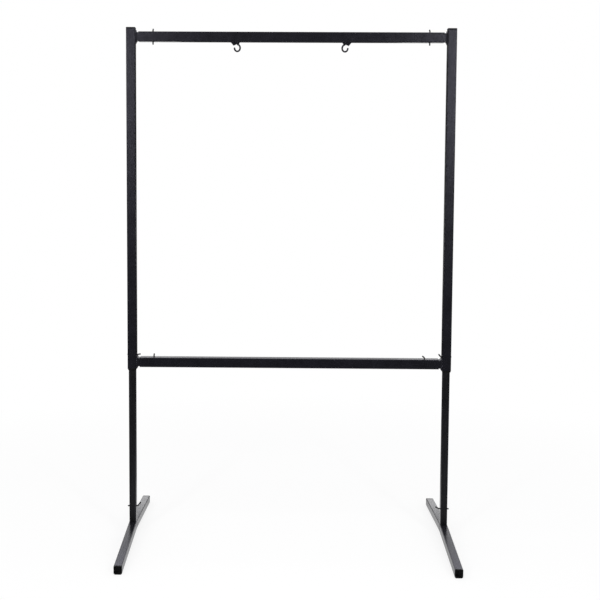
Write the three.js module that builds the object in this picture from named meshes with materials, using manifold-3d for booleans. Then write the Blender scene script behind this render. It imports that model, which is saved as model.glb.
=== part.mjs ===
// A free-standing gong stand of square steel tube, powder coated black.
//
// Two posts joined by a top bar and a lower bar make the frame that the gong hangs in. Each post slides on
// a thinner leg, the leg stands over a socket on a foot, and the foot is a shallow inverted V that rests on
// its two end caps. Bent pins lock every slip joint. All sizes are in millimetres.
//
// X runs along the bars, Y from the front of the stand to its back, Z up from the floor. The origin is on
// the floor in the middle of the stand.

import * as THREE from "three";
import { mergeVertices } from "three/addons/utils/BufferGeometryUtils.js";
import Module from "manifold-3d";

const wasm = await Module();
wasm.setup();

// Overall sizes
const standHeight = 1840; // floor to the top of the post caps
const clearWidth = 1100; // between the posts' inner faces
const topBarDrop = 32.5; // top of the post caps to the top bar's centre line
const lowerBarHeight = 646; // floor to the lower bar's centre line
const postBottomDrop = 23; // lower bar's centre line to the posts' lower ends
const footSpan = 754; // foot length, cap to cap
const footRise = 28; // floor to the foot's underside at its middle

// Square tubes
const postSize = 32;
const postWall = 2;
const barSize = 35;
const barWall = 2;
const stubSize = 30;
const stubWall = 2;
const legSize = 25;
const legWall = 2;
const footSize = 28;
const footWall = 2;
const socketSize = 20;
const socketWall = 2;
const cornerRadius = 3; // outside corner of every tube

// Clearances
const seatGap = 0.3; // between pieces that rest on or in each other
const pinPlay = 0.6; // between a pin and its holes, all round
const overrun = 5; // how far a cutting body runs past what it cuts

// Locking pins
const pinDiameter = 5;
const pinExit = 1.5; // straight run between a tube's face and the bend
const pinBendRadius = 5; // to the centre of the rod
const pinBendAngle = 50; // degrees
const barPinHandle = 8; // straight run after the bend, on a pin through a bar
const heightPinHandle = 10; // on a pin through a post
const footPinHandle = 15; // on a pin through a leg
const topPinTail = 10; // plain end past the far side of the top bar
const lowerPinTail = 2; // past the far side of the lower bar
const heightPinTail = 3; // past the far side of a post
const footPinTail = 7; // past the far side of a leg
const barPinInset = 62; // post's inner face to the pin through a bar
const heightPinRise = 26; // lower bar's centre line to the pin through a post
const footPinHeight = 112; // floor to the pin through a leg

// Which way each pin's handle leans, in degrees about the pin: 0 is away from the post for a pin through
// a bar and up for a pin through a post or leg, and 90 is towards the back
const topPinTurns = { left: 90, right: 90 };
const lowerPinTurns = { left: 90, right: 10 };
const heightPinTurns = { left: 90, right: 0 };
const footPinTurns = { left: 25, right: 80 };

// Bar stubs
const stubNeck = 12; // stub left bare between the post and the bar's end
const stubReach = 86; // stub inside the bar
const weldRun = 9; // root flare, along the stub
const weldFlare = 7; // root flare, above and below the stub
const weldSide = 0.6; // root flare, in front of and behind the stub

// Legs
const legInsert = 213; // leg inside the post
const holePitch = 50; // between the leg's height holes
const holesUp = 2; // holes over the one in use, which raise the frame
const holesDown = 4; // holes under it, which lower the frame
const socketHeight = 84; // socket over the foot's middle

// Plastic pieces
const capPlate = 6; // foot cap, outside the tube
const capTread = 1.6; // foot cap, below the tube's underside
const treadInset = 0.5; // tread's front and back, in from the cap's
const capPlug = 16; // foot cap, inside the tube
const plugWall = 2.2; // wall of every cap's and guide's plug
const topPlate = 5; // post cap, over the tube
const topPlug = 14; // post cap, inside the tube
const bushTaper = 6; // post bush, below the tube
const bushSleeve = 34; // post bush, inside the tube
const bushLip = 1; // post bush's lower rim, past the leg on each side
const guidePlate = 4; // leg guide, over the leg's end
const guidePlug = 18; // leg guide, inside the leg
const guideChamfer = 1.5; // around the leg guide's top edge

// Gong hooks
const hookSpacing = 380; // centre to centre
const hookRod = 6; // diameter
const hookHalfWidth = 9.9; // loop's centre line, sideways
const hookHalfHeight = 12.1; // loop's centre line, up and down
const hookDrop = 20.2; // bar's underside to the loop's centre
const hookStart = 96; // degrees, where the rod leaves the root
const hookSweep = 284; // degrees, from there to the free end
const rootReach = 23.5; // root's far corner at the bar
const rootHeel = 9.3; // root's near corner at the bar
const rootTipReach = 13.4; // root's lower tip, sideways from the loop's centre
const rootTipDrop = 12.6; // root's lower tip, below the bar
const rootThickness = 8; // front to back

// Smoothness, in counts
const cornerSteps = 2;
const pinSides = 8;
const pinSteps = 24;
const holeSides = 10;
const hookSides = 8;
const hookSteps = 26;
const footStretches = 2;

// Places worked out from the sizes above
const postCentre = (clearWidth + postSize) / 2;
const postTop = standHeight - topPlate;
const postBottom = lowerBarHeight - postBottomDrop;
const topBarHeight = standHeight - topBarDrop;
const heightPinHeight = lowerBarHeight + heightPinRise;
const footTop = footRise + footSize;
const legTop = postBottom + legInsert;
const footSlope = Math.atan2(footRise - capTread, footSpan / 2);
const footCapEnd = (footSpan / 2 - (footSize / 2) * Math.sin(footSlope)) / Math.cos(footSlope);
const footHalfRun = footCapEnd - capPlate - seatGap;
const footCrown = footRise + footSize / 2 / Math.cos(footSlope); // foot's centre line at its middle
const barLength = clearWidth - 2 * stubNeck;
const rightAngle = Math.PI / 2;
const unitSquareReach = Math.SQRT1_2; // centre to corner of a square with a side of 1

// Finishes
const steelFinish = { color: 0x232327, roughness: 0.45, metalness: 0.1 };
const plasticFinish = { color: 0x161617, roughness: 0.6, metalness: 0 };
const pinFinish = { color: 0x1c1c1e, roughness: 0.35, metalness: 0.6 };

// Solids for cutting and joining
function toSolid(geometry) {
  const bare = geometry.clone();
  bare.deleteAttribute("normal");
  bare.deleteAttribute("uv");
  const merged = mergeVertices(bare);
  const mesh = new wasm.Mesh({
    numProp: 3,
    vertProperties: new Float32Array(merged.attributes.position.array),
    triVerts: new Uint32Array(merged.index.array),
  });
  return new wasm.Manifold(mesh);
}

function toGeometry(solid) {
  const mesh = solid.getMesh();
  const shared = new THREE.BufferGeometry();
  shared.setAttribute("position", new THREE.BufferAttribute(mesh.vertProperties, 3));
  shared.setIndex(new THREE.BufferAttribute(mesh.triVerts, 1));
  const geometry = shared.toNonIndexed();
  geometry.computeVertexNormals();
  return geometry;
}

// A square with rounded corners, centred on the origin of the XY plane
function addRoundedSquare(path, size, radius) {
  const half = size / 2;
  const straight = half - radius;
  path.moveTo(half, -straight);
  path.lineTo(half, straight);
  path.absarc(straight, straight, radius, 0, rightAngle);
  path.lineTo(-straight, half);
  path.absarc(-straight, straight, radius, rightAngle, 2 * rightAngle);
  path.lineTo(-half, -straight);
  path.absarc(-straight, -straight, radius, 2 * rightAngle, 3 * rightAngle);
  path.lineTo(straight, -half);
  path.absarc(straight, -straight, radius, 3 * rightAngle, 4 * rightAngle);
  return path;
}

function innerRadius(wall) {
  return Math.max(cornerRadius - wall, wall / 2);
}

// The section of a round rod, as a regular outline with flat sides
function roundSection(radius, sides) {
  const corners = [];
  for (let i = 0; i < sides; i += 1) {
    const angle = (i / sides) * 4 * rightAngle;
    corners.push(new THREE.Vector2(radius * Math.cos(angle), radius * Math.sin(angle)));
  }
  return new THREE.Shape(corners);
}

function extruded(shape, length, stretches) {
  const options = { depth: length, steps: stretches, bevelEnabled: false, curveSegments: cornerSteps };
  return new THREE.ExtrudeGeometry(shape, options);
}

// A solid square bar from the XY plane up to the given length, in one or more equal stretches
function squareBar(size, radius, length, stretches = 1) {
  return extruded(addRoundedSquare(new THREE.Shape(), size, radius), length, stretches);
}

// A square tube from the XY plane up to the given length, in one or more equal stretches
function squareTube(size, wall, length, stretches = 1) {
  const shape = addRoundedSquare(new THREE.Shape(), size, cornerRadius);
  shape.holes.push(addRoundedSquare(new THREE.Path(), size - 2 * wall, innerRadius(wall)));
  return extruded(shape, length, stretches);
}

// A square tapering from one size to another over a height, from the XY plane up
function squareTaper(lowX, lowY, highX, highY, height) {
  const taper = new THREE.CylinderGeometry(unitSquareReach, unitSquareReach, height, 4);
  taper.rotateY(rightAngle / 2);
  taper.rotateX(rightAngle);
  taper.translate(0, 0, height / 2);
  const place = taper.attributes.position;
  for (let i = 0; i < place.count; i += 1) {
    const raised = place.getZ(i) > height / 2;
    place.setX(i, place.getX(i) * (raised ? highX : lowX));
    place.setY(i, place.getY(i) * (raised ? highY : lowY));
  }
  return taper;
}

// A round cutter for a pin's hole, along the given axis, centred on its place
function pinHole(length, alongX, x, y, z) {
  const radius = pinDiameter / 2 + pinPlay;
  const hole = new THREE.CylinderGeometry(radius, radius, length, holeSides);
  if (alongX) {
    hole.rotateZ(rightAngle);
  } else {
    hole.rotateX(rightAngle);
  }
  hole.translate(x, y, z);
  return toSolid(hole);
}

function drilled(geometry, holes) {
  let solid = toSolid(geometry);
  for (const hole of holes) {
    solid = solid.subtract(hole);
  }
  return toGeometry(solid);
}

function piece(name, geometry, finish) {
  const mesh = new THREE.Mesh(geometry, new THREE.MeshStandardMaterial(finish));
  mesh.name = name;
  return mesh;
}

// Foot

// Turns a body that runs up from the XY plane so that it runs along the foot's slope, outwards from the
// middle of the foot's centre line
function placeOnSlope(geometry) {
  geometry.rotateX(-rightAngle - footSlope);
  geometry.translate(0, 0, footCrown);
  return geometry;
}

// Bends a body of two equal stretches along Z into the foot's inverted V, mitred where they meet
function bendToFoot(geometry) {
  const place = geometry.attributes.position;
  for (let i = 0; i < place.count; i += 1) {
    const down = place.getY(i);
    const run = place.getZ(i);
    const reach = Math.abs(run);
    if (reach < seatGap) {
      place.setXYZ(i, place.getX(i), 0, footCrown - down / Math.cos(footSlope));
    } else {
      const outwards = reach * Math.cos(footSlope) - down * Math.sin(footSlope);
      const height = footCrown - reach * Math.sin(footSlope) - down * Math.cos(footSlope);
      place.setXYZ(i, place.getX(i), Math.sign(run) * outwards, height);
    }
  }
  geometry.computeVertexNormals();
  return geometry;
}

function makeFoot() {
  const tube = squareTube(footSize, footWall, 2 * footHalfRun, footStretches);
  tube.translate(0, 0, -footHalfRun);
  return bendToFoot(tube);
}

// The whole foot's outside, a seat gap larger, to cut what stands on it
function footCutter() {
  const bar = squareBar(footSize + 2 * seatGap, cornerRadius, 2 * footHalfRun, footStretches);
  bar.translate(0, 0, -footHalfRun);
  return toSolid(bendToFoot(bar));
}

// A cap with its plug: a plate over the tube's end, a tread under it cut flat to the floor
function makeFootCap() {
  const plate = squareBar(footSize, cornerRadius, capPlate);
  plate.translate(0, 0, footCapEnd - capPlate);
  const treadDepth = cornerRadius + capTread + capPlate;
  const tread = new THREE.BoxGeometry(footSize - 2 * cornerRadius, treadDepth, capPlate - 2 * treadInset);
  tread.translate(0, footSize / 2 - cornerRadius + treadDepth / 2, footCapEnd - capPlate / 2);
  const plugSize = footSize - 2 * footWall - 2 * seatGap;
  const plug = squareBar(plugSize, innerRadius(footWall), capPlug + seatGap + overrun / 2);
  plug.translate(0, 0, footHalfRun - capPlug);
  const bore = squareBar(plugSize - 2 * plugWall, innerRadius(footWall) / 2, capPlug);
  bore.translate(0, 0, footHalfRun - capPlug - overrun / 2);
  const cap = toSolid(placeOnSlope(plate))
    .add(toSolid(placeOnSlope(tread)))
    .add(toSolid(placeOnSlope(plug)))
    .subtract(toSolid(placeOnSlope(bore)));
  const floor = new THREE.BoxGeometry(footSpan, 2 * footSpan, footSpan);
  floor.translate(0, 0, -footSpan / 2);
  return toGeometry(cap.subtract(toSolid(floor)));
}

function makeSocket() {
  const length = footTop + socketHeight - footRise;
  const tube = squareTube(socketSize, socketWall, length);
  tube.translate(0, 0, footRise);
  const reach = socketSize + overrun;
  return drilled(tube, [footCutter(), pinHole(reach, true, 0, 0, footPinHeight)]);
}

// Leg and post

function makeLeg() {
  const tube = squareTube(legSize, legWall, legTop - guidePlate - footRise);
  tube.translate(0, 0, footRise);
  const reach = legSize + overrun;
  const cuts = [footCutter(), pinHole(reach, true, 0, 0, footPinHeight)];
  for (let step = -holesDown; step <= holesUp; step += 1) {
    cuts.push(pinHole(reach, true, 0, 0, heightPinHeight + step * holePitch));
  }
  return drilled(tube, cuts);
}

// A plastic plug in the leg's upper end, whose plate fills the post
function makeLegGuide() {
  const plateSize = postSize - 2 * postWall - 2 * seatGap;
  const plugSize = legSize - 2 * legWall - 2 * seatGap;
  const plate = squareBar(plateSize, innerRadius(postWall), guidePlate - guideChamfer - seatGap);
  plate.translate(0, 0, legTop - guidePlate + seatGap);
  const nose = squareTaper(
    plateSize - guideChamfer,
    plateSize - guideChamfer,
    plateSize - 2 * guideChamfer,
    plateSize - 2 * guideChamfer,
    guideChamfer + guidePlate / 2,
  );
  nose.translate(0, 0, legTop - guideChamfer - guidePlate / 2);
  const plug = squareBar(plugSize, innerRadius(legWall), guidePlug + guidePlate / 2);
  plug.translate(0, 0, legTop - guidePlate - guidePlug);
  const bore = squareBar(plugSize - 2 * plugWall, innerRadius(legWall) / 2, guidePlug);
  bore.translate(0, 0, legTop - guidePlate - guidePlug - overrun / 2);
  return toGeometry(toSolid(plate).add(toSolid(nose)).add(toSolid(plug)).subtract(toSolid(bore)));
}

function makePost() {
  const tube = squareTube(postSize, postWall, postTop - postBottom);
  tube.translate(0, 0, postBottom);
  return drilled(tube, [pinHole(postSize + overrun, true, 0, 0, heightPinHeight)]);
}

function makePostCap() {
  const plate = squareBar(postSize, cornerRadius, topPlate - seatGap);
  plate.translate(0, 0, postTop + seatGap);
  const plugSize = postSize - 2 * postWall - 2 * seatGap;
  const plug = squareBar(plugSize, innerRadius(postWall), topPlug + seatGap + topPlate / 2);
  plug.translate(0, 0, postTop - topPlug);
  const bore = squareBar(plugSize - 2 * plugWall, innerRadius(postWall) / 2, topPlug);
  bore.translate(0, 0, postTop - topPlug - overrun / 2);
  return toGeometry(toSolid(plate).add(toSolid(plug)).subtract(toSolid(bore)));
}

// A plastic collar that fills the space between leg and post and tapers below the post's end
function makePostBush() {
  const rim = legSize + 2 * (seatGap + bushLip);
  const taper = squareTaper(rim, rim, postSize, postSize, bushTaper - seatGap);
  taper.translate(0, 0, postBottom - bushTaper);
  const outline = squareBar(postSize, cornerRadius, bushTaper);
  outline.translate(0, 0, postBottom - bushTaper);
  const sleeveSize = postSize - 2 * postWall - 2 * seatGap;
  const sleeve = squareBar(sleeveSize, innerRadius(postWall), bushSleeve + bushTaper / 2);
  sleeve.translate(0, 0, postBottom - bushTaper / 2);
  const bore = squareBar(legSize + 2 * seatGap, cornerRadius, bushSleeve + bushTaper + 2 * overrun);
  bore.translate(0, 0, postBottom - bushTaper - overrun);
  return toGeometry(toSolid(taper).intersect(toSolid(outline)).add(toSolid(sleeve)).subtract(toSolid(bore)));
}

// Bars and their stubs

// A stub with its flared root, from the post's face along +Z, with the bars' holes across it along X
function makeStub() {
  const reach = stubNeck + stubReach;
  const body = squareBar(stubSize, cornerRadius, reach - seatGap);
  body.translate(0, 0, seatGap);
  const rootX = stubSize + 2 * weldFlare;
  const rootY = stubSize + 2 * weldSide;
  const flare = squareTaper(rootX, rootY, stubSize - weldSide, stubSize - weldSide, weldRun);
  flare.translate(0, 0, seatGap);
  const boreSize = stubSize - 2 * stubWall;
  const bore = squareBar(boreSize, innerRadius(stubWall), reach + 2 * overrun);
  bore.translate(0, 0, -overrun);
  const hole = pinHole(stubSize + 2 * overrun, true, 0, 0, barPinInset);
  return toGeometry(toSolid(body).add(toSolid(flare)).subtract(toSolid(bore)).subtract(hole));
}

function makeBar() {
  const tube = squareTube(barSize, barWall, barLength);
  tube.translate(0, 0, -barLength / 2);
  const pinPlace = clearWidth / 2 - barPinInset;
  const holes = [-pinPlace, pinPlace].map((along) => pinHole(barSize + overrun, true, 0, 0, along));
  return drilled(tube, holes);
}

// Locking pin: its shank hangs below the XY plane, and its handle leans over towards +X above it

class PinPath extends THREE.Curve {
  constructor(shank, handle) {
    super();
    this.shank = shank;
    this.bend = THREE.MathUtils.degToRad(pinBendAngle);
    this.length = shank + pinExit + this.bend * pinBendRadius + handle;
  }

  getPoint(share, target = new THREE.Vector3()) {
    const run = share * this.length - this.shank;
    if (run <= pinExit) {
      return target.set(0, 0, run);
    }
    const turned = Math.min((run - pinExit) / pinBendRadius, this.bend);
    const past = Math.max(run - pinExit - this.bend * pinBendRadius, 0);
    const x = pinBendRadius * (1 - Math.cos(turned)) + past * Math.sin(turned);
    const z = pinExit + pinBendRadius * Math.sin(turned) + past * Math.cos(turned);
    return target.set(x, 0, z);
  }
}

function makePin(shank, handle) {
  const section = roundSection(pinDiameter / 2, pinSides);
  return new THREE.ExtrudeGeometry(section, { steps: pinSteps, extrudePath: new PinPath(shank, handle) });
}

// Gong hook: a loop of rod under a wedge-shaped root, hanging from the XZ plane's X axis, mouth towards -X

class HookPath extends THREE.Curve {
  getPoint(share, target = new THREE.Vector3()) {
    const angle = THREE.MathUtils.degToRad(hookStart - share * hookSweep);
    return target.set(hookHalfWidth * Math.cos(angle), 0, hookHalfHeight * Math.sin(angle) - hookDrop);
  }
}

function makeHook() {
  const section = roundSection(hookRod / 2, hookSides);
  const loop = new THREE.ExtrudeGeometry(section, { steps: hookSteps, extrudePath: new HookPath() });
  const outline = new THREE.Shape();
  outline.moveTo(-rootReach, -seatGap);
  outline.lineTo(-rootTipReach, -rootTipDrop);
  outline.lineTo(-hookRod / 2, hookHalfHeight - hookDrop);
  outline.lineTo(hookRod, hookHalfHeight - hookDrop);
  outline.lineTo(rootHeel, -seatGap);
  outline.closePath();
  const root = new THREE.ExtrudeGeometry(outline, { depth: rootThickness, bevelEnabled: false });
  root.translate(0, 0, -rootThickness / 2);
  root.rotateX(rightAngle);
  return toGeometry(toSolid(loop).add(toSolid(root)));
}

// Assembly

// One side of the stand, built for the right: its inner side faces -X
function makeSide(side) {
  const group = new THREE.Group();
  group.add(piece(`foot_${side}`, makeFoot(), steelFinish));
  for (const [end, turn] of [["back", 0], ["front", Math.PI]]) {
    const facing = side === "left" ? turn + Math.PI : turn;
    const cap = piece(`foot_cap_${side}_${end}`, makeFootCap(), plasticFinish);
    cap.rotation.z = facing;
    group.add(cap);
  }
  group.add(piece(`foot_socket_${side}`, makeSocket(), steelFinish));
  group.add(piece(`leg_${side}`, makeLeg(), steelFinish));
  group.add(piece(`leg_guide_${side}`, makeLegGuide(), plasticFinish));
  group.add(piece(`post_${side}`, makePost(), steelFinish));
  group.add(piece(`post_cap_${side}`, makePostCap(), plasticFinish));
  group.add(piece(`post_bush_${side}`, makePostBush(), plasticFinish));

  const back = side === "left" ? -1 : 1;
  const barPins = [
    ["top", topBarHeight, topPinTail, topPinTurns],
    ["lower", lowerBarHeight, lowerPinTail, lowerPinTurns],
  ];
  for (const [bar, height, tail, turns] of barPins) {
    const stub = piece(`${bar}_stub_${side}`, makeStub(), steelFinish);
    stub.rotation.y = -rightAngle;
    stub.position.set(-postSize / 2, 0, height);
    group.add(stub);
    const pin = piece(`${bar}_bar_pin_${side}`, makePin(barSize + tail, barPinHandle), pinFinish);
    pin.position.set(-postSize / 2 - barPinInset, 0, height + barSize / 2);
    pin.rotation.z = Math.PI - back * THREE.MathUtils.degToRad(turns[side]);
    group.add(pin);
  }

  const crossPins = [
    ["height_pin", postSize, heightPinTail, heightPinHandle, heightPinHeight, heightPinTurns],
    ["foot_pin", legSize, footPinTail, footPinHandle, footPinHeight, footPinTurns],
  ];
  for (const [name, tube, tail, handle, height, turns] of crossPins) {
    const holder = new THREE.Group();
    holder.position.set(-tube / 2, 0, height);
    holder.rotation.y = -rightAngle;
    const pin = piece(`${name}_${side}`, makePin(tube + tail, handle), pinFinish);
    pin.rotation.z = back * THREE.MathUtils.degToRad(turns[side]);
    holder.add(pin);
    group.add(holder);
  }

  group.position.x = side === "left" ? -postCentre : postCentre;
  group.rotation.z = side === "left" ? Math.PI : 0;
  return group;
}

function makeCrossbars() {
  const group = new THREE.Group();
  for (const [name, height] of [["top_bar", topBarHeight], ["lower_bar", lowerBarHeight]]) {
    const bar = piece(name, makeBar(), steelFinish);
    bar.rotation.y = -rightAngle;
    bar.position.z = height;
    group.add(bar);
  }
  for (const [side, across] of [["left", -1], ["right", 1]]) {
    const hook = piece(`gong_hook_${side}`, makeHook(), steelFinish);
    hook.position.set((across * hookSpacing) / 2, 0, topBarHeight - barSize / 2);
    hook.rotation.z = side === "left" ? 0 : Math.PI;
    group.add(hook);
  }
  return group;
}

const group = new THREE.Group();
group.add(makeSide("left"), makeSide("right"), makeCrossbars());

export default group;
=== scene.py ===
"""A free-standing gong stand of black powder coated steel tube, dressed for its picture.

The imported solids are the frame. Each piece made here stands where its solid stands and moves with the same
body. Shapes are worked out in millimetres, and become metres when a piece is fitted.
"""

import logging
import math
from collections.abc import Sequence
from dataclasses import dataclass
from enum import Enum
from functools import cache

import bmesh
import bpy
from bmesh.types import BMesh, BMFace, BMVert
from bpy.types import Material, NodeOutputs, NodeSocket, NodeTree, Object
from mathutils import Matrix, Vector


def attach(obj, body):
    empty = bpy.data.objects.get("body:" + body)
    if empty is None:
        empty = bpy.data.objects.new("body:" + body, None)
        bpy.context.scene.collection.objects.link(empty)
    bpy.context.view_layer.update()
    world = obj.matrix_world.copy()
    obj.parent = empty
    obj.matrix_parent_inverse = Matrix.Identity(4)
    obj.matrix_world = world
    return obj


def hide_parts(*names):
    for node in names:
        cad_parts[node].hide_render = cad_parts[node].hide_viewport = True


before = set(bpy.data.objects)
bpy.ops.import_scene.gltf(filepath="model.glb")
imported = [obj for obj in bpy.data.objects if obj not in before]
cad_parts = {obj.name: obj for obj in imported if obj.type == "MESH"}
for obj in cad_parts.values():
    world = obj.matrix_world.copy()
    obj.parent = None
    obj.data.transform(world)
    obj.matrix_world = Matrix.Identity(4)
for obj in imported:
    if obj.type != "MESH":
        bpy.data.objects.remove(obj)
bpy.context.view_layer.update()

log = logging.getLogger("gong_stand")

MM = 0.001
ACROSS_X = Matrix.Rotation(math.radians(-90), 4, "Y")  # turns what runs up so that it runs towards -X
NEAR = 0.01  # what counts as the same place
MERGE = 0.001  # points closer than this become one
CUT = 0.0001  # points closer than this to a cutting plane lie on it
SHARP = math.radians(50)  # an edge that turns by more is rounded off
CREASE = math.radians(40)  # an edge that turns by more is shaded as an edge
DRILL_SIDES = 32
BEAD_SIDES = 10


class Side(Enum):
    """The two sides of the stand, as seen from the front."""

    LEFT = "left"
    RIGHT = "right"

    @property
    def across(self) -> int:
        """Which way along X this side lies from the middle."""
        return -1 if self is Side.LEFT else 1

    @property
    def turn(self) -> Matrix:
        """Turns a piece made for the right, whose inner side faces -X, for this side."""
        return Matrix.Rotation(math.pi if self is Side.LEFT else 0.0, 4, "Z")


class Slot(Enum):
    """The record's finishes."""

    COAT = "black_powder_coat"
    PLASTIC = "black_plastic"
    ROD = "dark_pin_steel"


class Axis(Enum):
    """A way that lines or holes run, with the stretch of a lined pattern along each axis."""

    X = (0.02, 1.0, 1.0)
    Z = (1.0, 1.0, 0.02)


# Materials

MOST = (0.3, 0.7)  # nearly all of a noise pattern lies between these
WHOLE = (0.0, 1.0)
SOFTLY = {"interpolation_type": "SMOOTHSTEP"}
LARGER = {"operation": "MAXIMUM"}
TIMES = {"operation": "MULTIPLY"}


def linear(colour: str) -> tuple[float, float, float, float]:
    """Turns an sRGB hex colour to linear light.

    Args:
        colour: Six hex digits.

    Returns:
        Red, green, blue and a full alpha.
    """
    parts = [int(colour[i : i + 2], 16) / 255 for i in (0, 2, 4)]
    red, green, blue = (c / 12.92 if c <= 0.04045 else ((c + 0.055) / 1.055) ** 2.4 for c in parts)
    return red, green, blue, 1.0


def ramp(low: float, high: float, first: float = 0.0, last: float = 1.0) -> dict[str, float]:
    """Gives what a Map Range node holds: a stretch of its source, and the values that this becomes."""
    return {"From Min": low, "From Max": high, "To Min": first, "To Max": last}


def add_node(
    tree: NodeTree,
    kind: str,
    fields: dict | None = None,
    values: dict | None = None,
    links: dict | None = None,
) -> NodeOutputs:
    """Adds one node with its settings and links.

    Args:
        tree: The node tree.
        kind: The node's type, without ShaderNode in front.
        fields: The node's own settings.
        values: What its unlinked inputs hold, by name or number.
        links: Which outputs feed its inputs, by name or number.

    Returns:
        The node's outputs.
    """
    node = tree.nodes.new(f"ShaderNode{kind}")
    for key, value in (fields or {}).items():
        setattr(node, key, value)
    for key, value in (values or {}).items():
        node.inputs[key].default_value = value
    for key, source in (links or {}).items():
        tree.links.new(source, node.inputs[key])
    return node.outputs


def empty_material(name: str) -> tuple[Material, NodeTree, NodeSocket]:
    """Starts a material.

    Args:
        name: Its name.

    Returns:
        The material, its tree, and the coordinates that its patterns follow, in metres.
    """
    material = bpy.data.materials.new(name)
    material.use_nodes = True
    tree = material.node_tree
    tree.nodes.clear()
    return material, tree, add_node(tree, "TexCoord")["Object"]


def rubbed_edges(tree: NodeTree, width: float, most: float = 1.0) -> NodeSocket:
    """Finds the corners that hands and floors rub.

    Args:
        tree: The material's tree.
        width: How far in from a corner the rubbing reaches, in millimetres.
        most: Its value at a sharp corner.

    Returns:
        0 on a flat, rising at a corner.
    """
    flat, sharp = 0.995, 0.86  # how far the rounded normal agrees with the true one
    rounded = add_node(tree, "Bevel", {"samples": 4}, {"Radius": width * MM})[0]
    true = add_node(tree, "NewGeometry")["Normal"]
    facing = add_node(tree, "VectorMath", {"operation": "DOT_PRODUCT"}, links={0: rounded, 1: true})
    values = ramp(flat, sharp, last=most)
    return add_node(tree, "MapRange", SOFTLY, values, {"Value": facing["Value"]})[0]


def mottle(
    tree: NodeTree,
    place: NodeSocket,
    size: float,
    band: tuple[float, float] = WHOLE,
    out: tuple[float, float] = WHOLE,
    detail: float = 2.0,
    rough: float = 0.5,
) -> NodeSocket:
    """Draws an uneven pattern of a real size.

    Args:
        tree: The material's tree.
        place: Coordinates in metres.
        size: Distance from one blotch to the next, in millimetres.
        band: What of the noise, which lies around 0.5, gives the first and the last value.
        out: These two values.
        detail: How many finer patterns lie in it.
        rough: How strong these are.

    Returns:
        The pattern.
    """
    values = {"Scale": 1 / (size * MM), "Detail": detail, "Roughness": rough}
    noise = add_node(tree, "TexNoise", values=values, links={"Vector": place})[0]
    return add_node(tree, "MapRange", values=ramp(*band, *out), links={"Value": noise})[0]


def painted(tree: NodeTree, ground: str, *layers: tuple[NodeSocket, str]) -> NodeSocket:
    """Lays colours over each other, all of them sRGB hex.

    Args:
        tree: The material's tree.
        ground: The lowest colour.
        layers: How much of each further colour shows, and the colour.

    Returns:
        The finished colour.
    """
    under, over, mixed = 6, 7, 2  # the sockets for colours
    values, links = {under: linear(ground)}, {}
    for share, colour in layers:
        values[over], links[0] = linear(colour), share
        node = add_node(tree, "Mix", {"data_type": "RGBA"}, values, links)
        values, links = {}, {under: node[mixed]}
    return links[under]


def close_tree(tree: NodeTree, relief: NodeSocket, bump: dict, values: dict, links: dict) -> None:
    """Ends a material in its surface.

    Args:
        tree: The material's tree.
        relief: The surface's small heights.
        bump: How strongly they show, and what a height of 1 stands for, in metres, by name.
        values: What the surface's unlinked inputs hold.
        links: What feeds its other inputs.
    """
    normal = add_node(tree, "Bump", values=bump, links={"Height": relief})[0]
    surface = add_node(tree, "BsdfPrincipled", values=values, links={**links, "Normal": normal})
    add_node(tree, "OutputMaterial", links={"Surface": surface[0]})


@dataclass(frozen=True)
class PowderCoat:
    """Polyester powder sprayed on welded steel tube and baked: an even satin black with a soft orange peel,
    a touch of blue, a little thinner and lighter where it draws back from the corners.
    """

    name: str = "powder_coat"
    slot: Slot = Slot.COAT
    colour: str = "111115"
    thick_colour: str = "15151a"
    edge_colour: str = "222227"
    edge_width: float = 1.2
    roughness: tuple[float, float] = (0.23, 0.28)
    specular: float = 0.35
    tint: str = "ecebff"  # of its gloss
    film_size: float = 45  # cloudy differences in the film, from one pass of the gun to the next
    peel_size: float = 2.8  # orange peel
    peel_depth: float = 0.018
    sag_size: float = 14  # slow waves under the peel
    sag_share: float = 4  # how much deeper they are than it
    rubbed: Axis | None = None  # streaks left by the tube that slides on this one
    streak_size: float = 3  # real ones are under 1 mm apart, drawn coarser so that they show
    streak_share: float = 0.6  # how much of the edges' colour they take
    streak_polish: float = 0.12  # how much roughness they take away

    def material(self) -> Material:
        """Builds the coat's nodes.

        Returns:
            The material.
        """
        material, tree, place = empty_material(self.name)
        layers = [
            (mottle(tree, place, self.film_size, MOST), self.thick_colour),
            (rubbed_edges(tree, self.edge_width), self.edge_colour),
        ]
        handled = self.film_size / 2
        rough = mottle(tree, place, handled, MOST, self.roughness, detail=4, rough=0.6)
        depth = self.peel_depth * MM
        peel = mottle(tree, place, self.peel_size, out=(0.0, depth), detail=1, rough=0.3)
        sag = mottle(tree, place, self.sag_size, out=(0.0, self.sag_share * depth), detail=0)
        height = add_node(tree, "Math", {"operation": "ADD"}, links={0: peel, 1: sag})[0]
        if self.rubbed:
            links, out = {"Vector": place}, (0.0, self.streak_share)
            along = add_node(tree, "Mapping", values={"Scale": self.rubbed.value}, links=links)[0]
            streaks = mottle(tree, along, self.streak_size, (0.5, 0.75), out, detail=3, rough=0.6)
            layers.append((streaks, self.edge_colour))
            polish, links = {1: -self.streak_polish}, {0: streaks, 2: rough}
            rough = add_node(tree, "Math", {"operation": "MULTIPLY_ADD"}, polish, links)[0]
        colour = painted(tree, self.colour, *layers)
        bump = {"Strength": 1.0, "Distance": 1.0}
        values = {"IOR": 1.5, "Specular IOR Level": self.specular, "Specular Tint": linear(self.tint)}
        close_tree(tree, height, bump, values, {"Base Color": colour, "Roughness": rough})
        return material


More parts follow.
